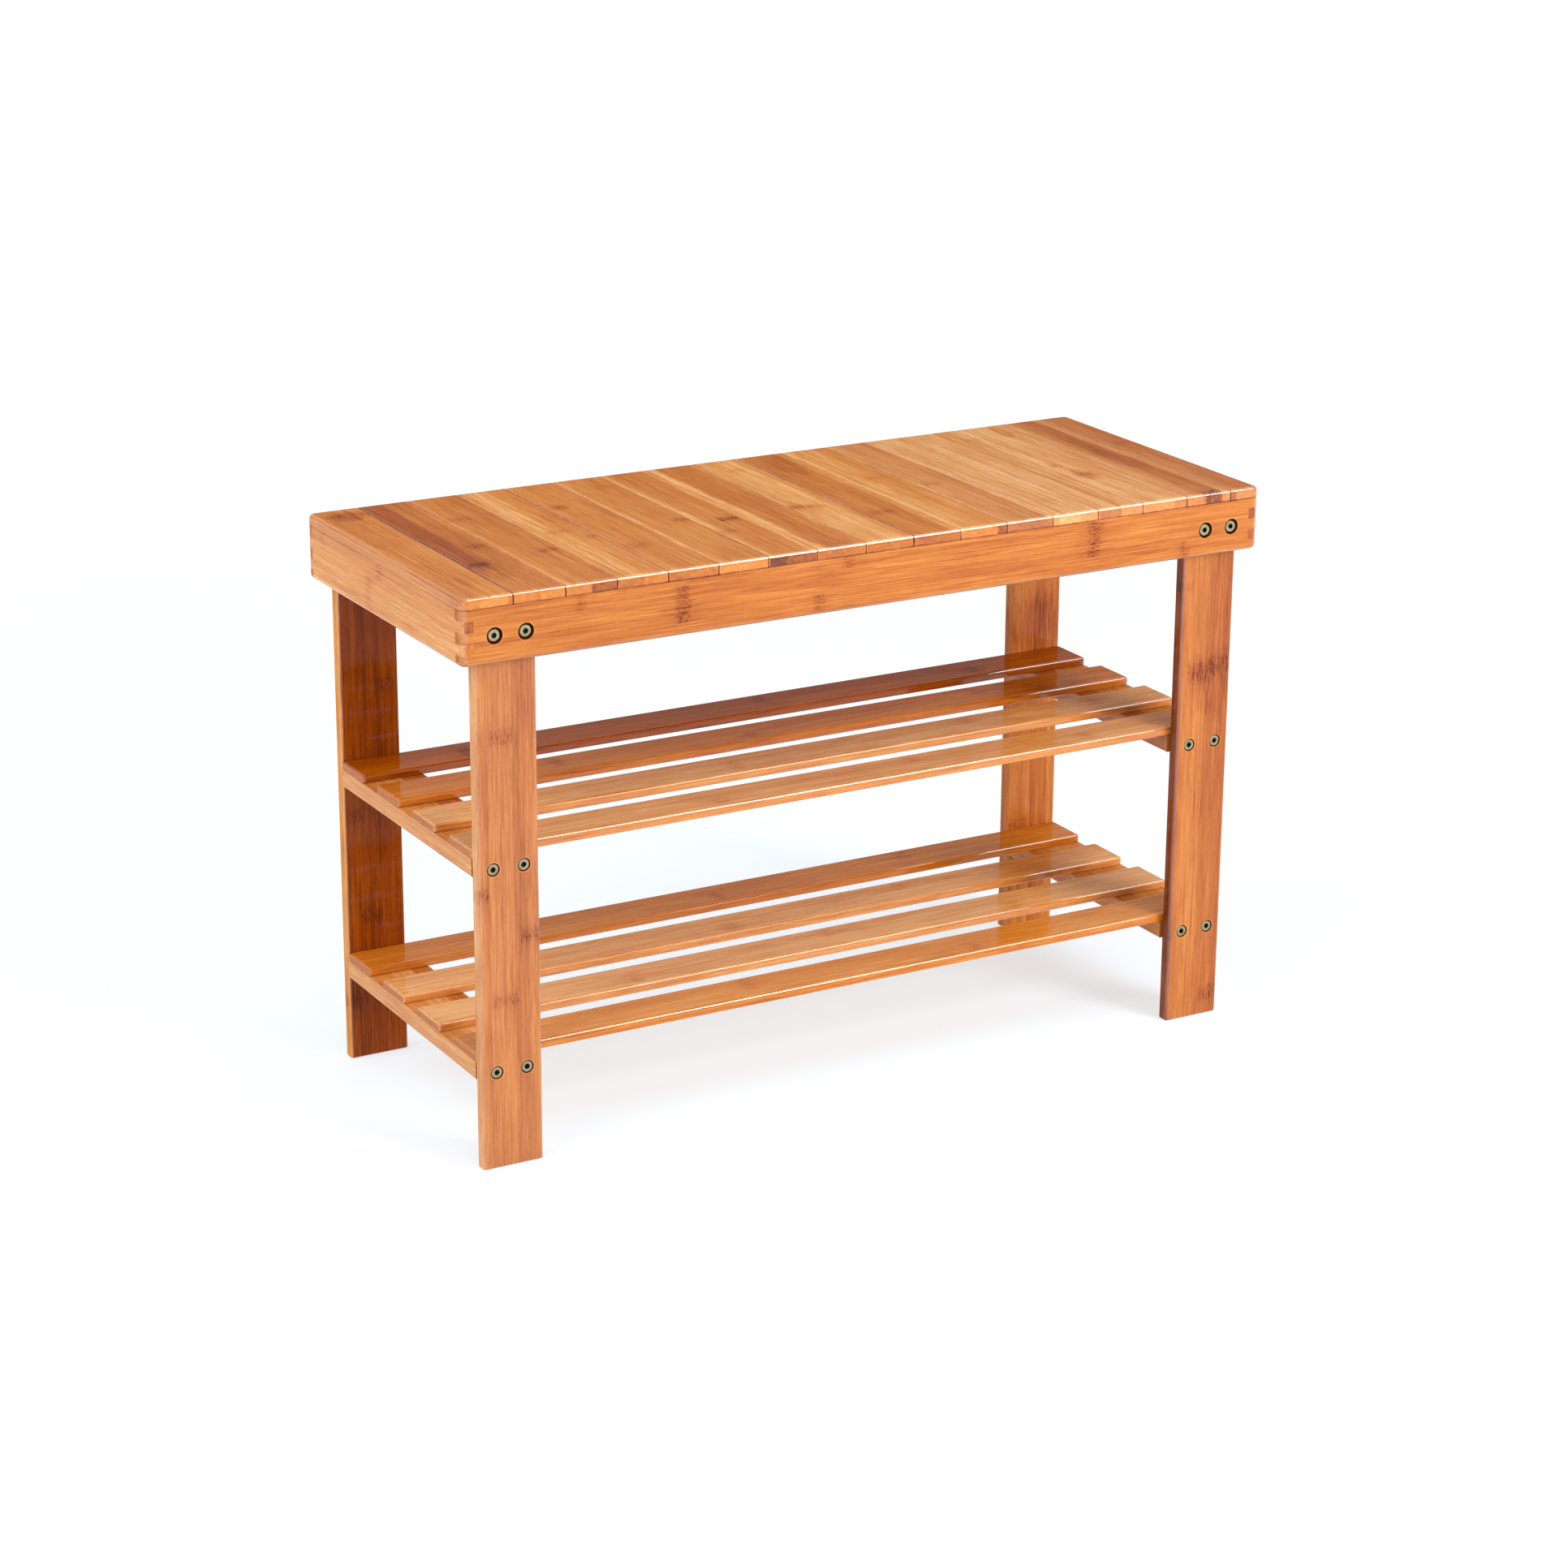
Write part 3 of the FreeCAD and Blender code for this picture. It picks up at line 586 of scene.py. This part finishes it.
LEG_LOOKS = {
    "leg_front_left": dict(
        gloss=0.5,
        saturation=0.95,
        strips=[
            (0.0, 0.84), (0.02, 0.58), (0.18, 0.40), (0.20, 0.48), (0.58, 0.50), (0.60, 0.38),
            (0.80, 0.40), (0.82, 0.46), (1.0, 0.46),
        ],
        knots=[
            (340, 20, 10, 6, 0.24), (219, 4, 5, 6, 0.30), (183, 41, 8, 6, 0.26),
            (133, 21, 11, 6, 0.24),
        ],
        waver=0.5,
    ),
    "leg_front_right": dict(
        gloss=0.4,
        saturation=0.98,
        # The first stops darken its inner side, across 0, as painted shade.
        strips=[
            (0.0, 0.16), (0.02, 0.18), (0.05, 0.41), (0.14, 0.49), (0.50, 0.45), (0.52, 0.36),
            (0.80, 0.38), (0.84, 0.31), (1.0, 0.34),
        ],
        knots=[
            (299, 17, 11, 8, 0.24), (303, 38, 11, 7, 0.22), (372, 5, 6, 4, 0.12),
            (18, 40, 9, 6, 0.20),
        ],
        stains=[(289, 19, 13, 28, 0.12), (285, 38, 13, 36, 0.11), (355, 25, 34, 70, 0.06)],
        waver=0.5,
    ),
    "leg_back_left": dict(
        saturation=1.04,
        gloss=0.25,
        # All faces but the outer side, across 0, are dark: partly the board's own tone, partly painted
        # shade from the seat above.
        strips=[
            (0.0, 0.80), (0.02, 0.80), (0.03, 0.16), (0.28, 0.17), (0.30, 0.13), (0.66, 0.14),
            (0.68, 0.17), (1.0, 0.18),
        ],
        knots=[
            (50, 5, 6, 6, 0.22), (120, 22, 10, 6, 0.10), (310, 38, 9, 6, 0.10),
            (205, 10, 8, 6, 0.10),
        ],
        waver=0.5,
    ),
    "leg_back_right": dict(
        gloss=0.35,
        strips=[(0.0, 0.54), (0.46, 0.52), (0.48, 0.40), (0.80, 0.42), (0.82, 0.50), (1.0, 0.50)],
        stains=[(275, 25, 40, 30, 0.20), (50, 25, 40, 45, 0.12)],
        knots=[(355, 12, 10, 6, 0.28), (240, 34, 10, 6, 0.26), (95, 12, 10, 6, 0.28)],
        waver=0.5,
    ),
}

CROSSPIECE_LOOKS = {
    "upper_crosspiece_left": dict(
        strips=[(0.0, 0.72), (0.60, 0.70), (0.62, 0.36), (1.0, 0.34)],
        knots=[(-30, 16, 14, 6, 0.26)],
    ),
    "upper_crosspiece_right": dict(
        strips=[(0.0, 0.40), (0.36, 0.42), (0.38, 0.66), (1.0, 0.66)],
        knots=[(-20, 30, 14, 6, 0.26)],
    ),
    "lower_crosspiece_left": dict(
        strips=[(0.0, 0.76), (0.34, 0.74), (0.36, 0.86), (0.68, 0.88), (0.70, 0.46), (1.0, 0.44)],
        knots=[(40, 26, 14, 6, 0.22)],
    ),
    "lower_crosspiece_right": dict(
        strips=[(0.0, 0.56), (0.32, 0.56), (0.34, 0.72), (1.0, 0.72)],
        knots=[(10, 30, 14, 6, 0.26)],
    ),
}

# Shelf slats, from the front one to the back one. Their tones are partly their own colour and partly
# painted light and shade: the upper shelf's front two and the lower shelf's middle two are lightened
# as painted light, the back slats under the seat and the upper shelf are darkened as painted shade,
# and each darker first stop, the slat's front face, is painted shade.
UPPER_SHELF_LOOKS = [
    dict(
        strips=[(0.0, 0.58), (0.02, 0.60), (0.05, 0.88), (0.45, 0.84), (0.47, 0.78), (1.0, 0.84)],
        knots=[(-120, 12, 9, 6, 0.22), (60, 30, 9, 6, 0.20), (215, 14, 10, 6, 0.24)],
    ),
    dict(
        strips=[(0.0, 0.66), (0.02, 0.68), (0.05, 0.95), (0.50, 0.93), (0.52, 0.86), (1.0, 0.86)],
        knots=[(-70, 16, 10, 6, 0.22), (150, 28, 9, 6, 0.22), (270, 24, 12, 6, 0.20)],
    ),
    dict(
        saturation=1.04,
        strips=[(0.0, 0.44), (0.02, 0.46), (0.05, 0.60), (0.50, 0.58), (0.52, 0.50), (1.0, 0.52)],
        # This stain is painted shade and reflection from the front right leg, on the slat's right end.
        stains=[(262, 20, 40, 55, 0.16)],
        knots=[(-190, 24, 12, 6, 0.28), (-20, 12, 9, 6, 0.22), (200, 28, 9, 6, 0.22)],
    ),
    dict(
        saturation=1.06,
        strips=[(0.0, 0.20), (0.02, 0.22), (0.05, 0.34), (0.46, 0.34), (0.48, 0.26), (1.0, 0.26)],
        knots=[(-240, 14, 10, 6, 0.24), (30, 26, 9, 6, 0.20), (230, 14, 9, 6, 0.22)],
    ),
]
LOWER_SHELF_LOOKS = [
    dict(
        saturation=1.05,
        strips=[(0.0, 0.56), (0.02, 0.58), (0.05, 0.78), (0.48, 0.76), (0.50, 0.70), (1.0, 0.72)],
        knots=[(-90, 26, 10, 6, 0.20), (110, 12, 9, 6, 0.22)],
    ),
    dict(
        strips=[(0.0, 0.68), (0.02, 0.70), (0.05, 1.0), (0.48, 1.0), (0.50, 0.97), (1.0, 1.0)],
        knots=[(-160, 14, 10, 6, 0.22), (20, 28, 10, 6, 0.20), (190, 12, 9, 6, 0.20)],
    ),
    dict(
        strips=[(0.0, 0.68), (0.02, 0.70), (0.05, 0.94), (0.50, 0.92), (0.52, 0.86), (1.0, 0.88)],
        # This stain is painted shade and reflection from the front right leg, on the slat's right end.
        stains=[(262, 20, 40, 55, 0.20)],
        knots=[(-40, 12, 10, 6, 0.24), (130, 28, 9, 6, 0.22)],
    ),
    dict(
        saturation=1.05,
        strips=[(0.0, 0.48), (0.02, 0.50), (0.05, 0.66), (0.50, 0.64), (0.52, 0.56), (1.0, 0.58)],
        knots=[(-200, 24, 12, 6, 0.30), (-15, 14, 9, 6, 0.22), (170, 26, 9, 6, 0.20)],
    ),
]


def span(node, axis):
    """Where a CAD node begins and ends along one axis, in millimetres."""
    low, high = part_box(node)
    return low[axis] * MM, high[axis] * MM


LEG_SIDES = span("leg_front_right", X)
LEG_WIDTH = LEG_SIDES[1] - LEG_SIDES[0]
RAIL_BOTTOM, RAIL_TOP = span("seat_rail_front", Z)

# Bolts go in pairs at three levels, up the middle of each leg. All lengths are in millimetres.
BOLT_PAIR_X = sum(LEG_SIDES) / 2
BOLT_STEPS = (-12.5, 12.5)
BOLT_LEVELS = {
    node: sum(span(node, Z)) / 2
    for node in ("seat_bolts", "upper_shelf_bolts", "lower_shelf_bolts")
}
# The painted shade in each hex socket: its radius, and how far its edge blurs.
SOCKET_RADIUS = 2.1
SOCKET_BLUR = 0.2

# Bolt holes, which get painted shade inside: (along, across, radius).
SEAT_BORES = [
    (side * BOLT_PAIR_X + step, (RAIL_TOP - RAIL_BOTTOM) / 2, 6.3)
    for side in (-1, 1)
    for step in BOLT_STEPS
]
LEG_BORES = [
    (BOLT_LEVELS[node], LEG_WIDTH / 2 + step, 5.1)
    for node in ("lower_shelf_bolts", "upper_shelf_bolts")
    for step in BOLT_STEPS
]

# Painted shade lines where boards meet: (side of the board, reach, strength), or (height, reach,
# strength) along the seat boards' ends.
SEAT_SEAM_SHADES = [("low", 1.1, 0.34), ("high", 1.1, 0.34)]
SEAT_END_SEAM_SHADE = (RAIL_TOP, 1.3, 0.38)
RAIL_SEAM_SHADES = [("high", 0.9, 0.36)]
END_RAIL_SEAM_SHADES = [("high", 0.7, 0.08)]


def board_table():
    """Every bamboo board: its node, the axes across, along and through it, and its look."""
    boards = []
    for number, look in enumerate(SEAT_LOOKS, start=1):
        seams = SEAT_SEAM_SHADES
        if number == 1:
            seams = SEAT_SEAM_SHADES[1:]
        elif number == len(SEAT_LOOKS):
            seams = SEAT_SEAM_SHADES[:1]
        look = dict(look, seams=seams, end_seam_shade=SEAT_END_SEAM_SHADE)
        boards.append((f"seat_slat_{number:02d}", (X, Y, Z), look))
    for node, look in RAIL_LOOKS.items():
        if node in ("seat_rail_front", "seat_rail_back"):
            boards.append((node, (Z, X, Y), dict(look, seams=RAIL_SEAM_SHADES, bores=SEAT_BORES)))
        else:
            boards.append((node, (Z, Y, X), dict(look, seams=END_RAIL_SEAM_SHADES)))
    for node, look in LEG_LOOKS.items():
        boards.append((node, (X, Z, Y), dict(look, bores=LEG_BORES)))
    for node, look in CROSSPIECE_LOOKS.items():
        boards.append((node, (X, Y, Z), look))
    for level, looks in (("upper", UPPER_SHELF_LOOKS), ("lower", LOWER_SHELF_LOOKS)):
        for number, look in enumerate(looks, start=1):
            boards.append((f"{level}_shelf_slat_{number}", (Y, X, Z), look))
    boards.append(("seat_slat_dowels", (X, Z, Y), DOWEL_LOOK))
    return boards


def dress(node, material):
    """Gives a CAD node one material."""
    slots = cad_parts[node].data.materials
    slots.clear()
    slots.append(material)


def dress_boards():
    """Gives each bamboo node its own material."""
    for number, (node, axes, look) in enumerate(board_table(), start=1):
        near, far = span(node, axes[0])
        dress(node, bamboo_material(node, axes, near, far - near, look, number))


# Zinc plating, by the thickness of its faint yellow film, and the painted shade inside a hex socket.
ZINC_TINTS = [
    (0.32, (0.38, 0.26, 0.16)),
    (0.43, (0.40, 0.34, 0.24)),
    (0.53, (0.42, 0.34, 0.17)),
    (0.62, (0.30, 0.27, 0.12)),
]
SOCKET_SHADE_COLOUR = (0.035, 0.030, 0.024, 1.0)
ZINC_BUMP = (0.6, 0.00008)
ZINC_ROUGHNESS = (0.12, 0.38)
HIDDEN_STEEL = (
    "leg_threaded_sleeves",
    "crosspiece_threaded_sleeves",
    "upper_shelf_screws",
    "lower_shelf_screws",
)


def socket_shade(graph, point, level):
    """Where painted shade goes: 1 inside the hex sockets of the bolts at one height, 0 elsewhere. All
    in millimetres.
    """
    x, _, z = graph.split(point)
    # The pairs mirror each other, and so do the bolts of a pair, so one distance serves them all.
    for mirror in (0.0, BOLT_PAIR_X):
        x = graph.math("ABSOLUTE", graph.math("SUBTRACT", x, mirror))
    beside = graph.math("SUBTRACT", x, BOLT_STEPS[1])
    above = graph.math("SUBTRACT", z, level)
    distance = graph.math("SQRT", graph.square_sum(beside, above))
    return graph.smooth(distance, SOCKET_RADIUS + SOCKET_BLUR, SOCKET_RADIUS - SOCKET_BLUR)


def zinc_material(name, bolt_level=None):
    """Zinc-plated steel, with painted shade in the hex sockets where a node's bolts stand at one
    height.
    """
    material, graph = new_material("zinc_" + name)
    place = graph.add("ShaderNodeTexCoord")
    scale = graph.add("ShaderNodeVectorMath", operation="MULTIPLY")
    graph.feed(scale.inputs[0], place.outputs["Object"])
    scale.inputs[1].default_value = (MM, MM, MM)
    point = scale.outputs[0]
    film = graph.scaled_noise(point, (7.0, 7.0, 7.0), detail=1.0)
    wear = graph.scaled_noise(point, (0.6, 0.6, 0.6))
    tint = graph.ramp(film, ZINC_TINTS)
    if bolt_level is not None:
        # Painted shade darkens the hex sockets.
        inside = socket_shade(graph, point, bolt_level)
        tint = graph.blend(inside, tint, SOCKET_SHADE_COLOUR, colours=True)
    surface = graph.add("ShaderNodeBsdfPrincipled")
    graph.feed(surface.inputs["Base Color"], tint)
    graph.feed(surface.inputs["Roughness"], graph.spread(wear, *ZINC_ROUGHNESS))
    graph.feed(surface.inputs["Normal"], graph.bump(wear, *ZINC_BUMP))
    surface.inputs["Metallic"].default_value = 1.0
    graph.finish(surface)
    return material


def dress_steel():
    """Gives the bolts, and the steel hidden inside the wood, their material."""
    for node, level in BOLT_LEVELS.items():
        dress(node, zinc_material(node, level))
    plain = zinc_material("plain")
    for node in HIDDEN_STEEL:
        dress(node, plain)


# The studio floor, in metres. It lies just under the feet, so that the two don't share a plane. It
# glows by itself, and more from FLOOR_NEAR to FLOOR_FAR, where the lamps don't reach.
FLOOR_HALF = 40.0
FLOOR_HEIGHT = -0.0004
FLOOR_COLOUR = (0.335, 0.400, 0.455, 1.0)
FLOOR_NEAR, FLOOR_FAR = 0.8, 4.0
GLOW_NEAR, GLOW_FAR = 0.60, 0.78


def make_floor():
    """A plain white studio floor."""
    corners = [
        (x * FLOOR_HALF, y * FLOOR_HALF, 0.0) for x, y in ((-1, -1), (1, -1), (1, 1), (-1, 1))
    ]
    mesh = bpy.data.meshes.new("studio_floor")
    mesh.from_pydata(corners, [], [(0, 1, 2, 3)])
    floor = bpy.data.objects.new("studio_floor", mesh)
    bpy.context.scene.collection.objects.link(floor)
    floor.location.z = FLOOR_HEIGHT
    material, graph = new_material("studio_paper")
    place = graph.add("ShaderNodeTexCoord")
    reach = graph.add("ShaderNodeVectorMath", operation="LENGTH")
    graph.feed(reach.inputs[0], place.outputs["Object"])
    beyond = graph.smooth(reach.outputs["Value"], FLOOR_NEAR, FLOOR_FAR)
    surface = graph.add("ShaderNodeBsdfPrincipled")
    surface.inputs["Base Color"].default_value = FLOOR_COLOUR
    surface.inputs["Emission Color"].default_value = (1.0, 1.0, 1.0, 1.0)
    graph.feed(surface.inputs["Emission Strength"], graph.blend(beyond, GLOW_NEAR, GLOW_FAR))
    surface.inputs["Roughness"].default_value = 1.0
    surface.inputs["Specular IOR Level"].default_value = 0.0
    graph.finish(surface)
    mesh.materials.append(material)


# The key light: the way from the bench to it, its strength, and how many degrees wide it looks.
KEY_LIGHT = ((0.02, -0.50, 0.86), 0.30, 20.0)

# Rectangular studio lights: centre, point aimed at, width, height and radiance, in metres. The fills
# light the wood and aren't seen in its lacquer, where they would wash the seat out from behind. The
# glint is seen only in the lacquer, where it draws white lines along the rounded edges.
FILL_BOXES = {
    "front_right_fill": ((1.2, -2.5, 1.40), (0.0, 0.0, 0.40), 0.95, 1.9, 13.6),
    "left_fill": ((-2.4, -0.3, 2.1), (0.0, 0.0, 0.30), 2.2, 2.2, 3.2),
}
GLINT_BOX = ((1.30, -1.15, 2.55), (0.0, 0.0, 0.40), 1.1, 1.4, 14.0)

# How bright the room is, by the sine of the height above the horizon. It is white at the floor's
# edge, dark above that, and pale overhead.
ROOM_GLOW = [
    (0.0, 1.0), (0.16, 0.98), (0.21, 0.05), (0.23, 0.05), (0.28, 0.36), (0.36, 0.60),
    (0.50, 0.74), (1.0, 0.85),
]


def add_lamp(name, light, towards):
    """Puts a lamp in the scene. Towards points from the bench to it."""
    lamp = bpy.data.objects.new(name, light)
    lamp.rotation_euler = towards.to_track_quat("Z", "Y").to_euler()
    bpy.context.scene.collection.objects.link(lamp)
    return lamp


def add_sun(name, towards, strength, angle):
    """A distant studio light."""
    light = bpy.data.lights.new(name, "SUN")
    light.energy = strength
    light.angle = math.radians(angle)
    add_lamp(name, light, Vector(towards))


def add_soft_box(name, centre, target, width, height, radiance):
    """A rectangular studio light."""
    light = bpy.data.lights.new(name, "AREA")
    light.shape = "RECTANGLE"
    light.size = width
    light.size_y = height
    light.energy = radiance * math.pi * width * height
    lamp = add_lamp(name, light, Vector(centre) - Vector(target))
    lamp.location = centre
    return lamp


def make_light():
    """A soft key light, fills and a glint, in a pale room."""
    add_sun("key_light", *KEY_LIGHT)
    for name, settings in FILL_BOXES.items():
        add_soft_box(name, *settings).visible_glossy = False
    add_soft_box("high_right_glint", *GLINT_BOX).visible_diffuse = False
    world = bpy.data.worlds.new("studio_room")
    bpy.context.scene.world = world
    world.use_nodes = True
    world.node_tree.nodes.clear()
    graph = Graph(world.node_tree)
    place = graph.add("ShaderNodeTexCoord")
    height = graph.split(place.outputs["Generated"])[Z]
    background = graph.add("ShaderNodeBackground")
    graph.feed(background.inputs["Color"], graph.ramp(height, ROOM_GLOW))
    graph.finish(background)


def make_camera():
    """The camera, on the photograph's side of the bench and looking at VIEW_TARGET."""
    azimuth = math.radians(VIEW_AZIMUTH)
    elevation = math.radians(VIEW_ELEVATION)
    back = Vector((
        math.sin(azimuth) * math.cos(elevation),
        -math.cos(azimuth) * math.cos(elevation),
        math.sin(elevation),
    ))
    data = bpy.data.cameras.new("camera")
    data.lens = LENS
    data.sensor_width = SENSOR
    camera = bpy.data.objects.new("camera", data)
    camera.location = VIEW_TARGET + back * VIEW_DISTANCE
    roll = Quaternion((0.0, 0.0, 1.0), math.radians(VIEW_ROLL))
    camera.rotation_mode = "QUATERNION"
    camera.rotation_quaternion = back.to_track_quat("Z", "Y") @ roll
    bpy.context.scene.collection.objects.link(camera)
    bpy.context.scene.camera = camera


make_camera()
dress_boards()
dress_steel()
make_floor()
make_light()
bpy.context.scene.view_settings.view_transform = "Standard"
